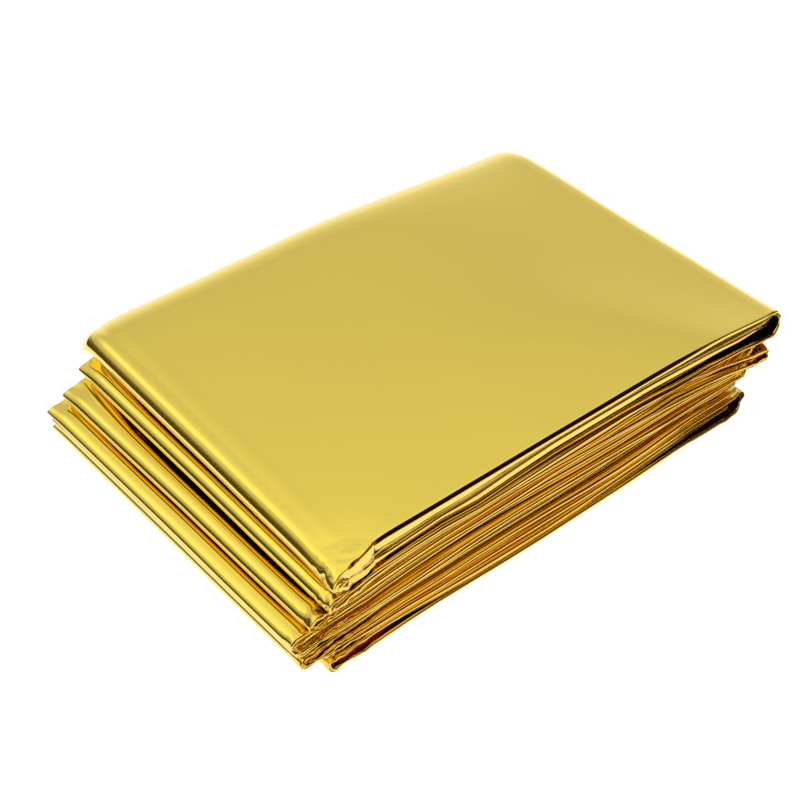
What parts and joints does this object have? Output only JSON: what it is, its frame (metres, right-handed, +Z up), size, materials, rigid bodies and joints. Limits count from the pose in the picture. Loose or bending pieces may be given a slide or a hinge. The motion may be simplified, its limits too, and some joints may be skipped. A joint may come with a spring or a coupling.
{
  "type": "folded emergency foil blanket",
  "caption": "Metallised film blanket, pleated to a strip and folded back and forth into a neat rectangular packet with rounded end rolls and a tall loop at each tucked end.",
  "frame": {"origin": "middle of the packet's footprint, on the surface that it lies on", "axes": "+X along the layers, from the stepped rolls towards the end with the tall loops; +Y along the folds, from the front edges to the back; +Z up through the layers"},
  "size_m": [0.1358, 0.0862, 0.0295],
  "materials": {
    "gold_film": "thin metallised polyester film, both faces a smooth satin gold mirror"
  },
  "bodies": {
    "root": {"folded_film": "gold_film"}
  },
  "joints": []
}
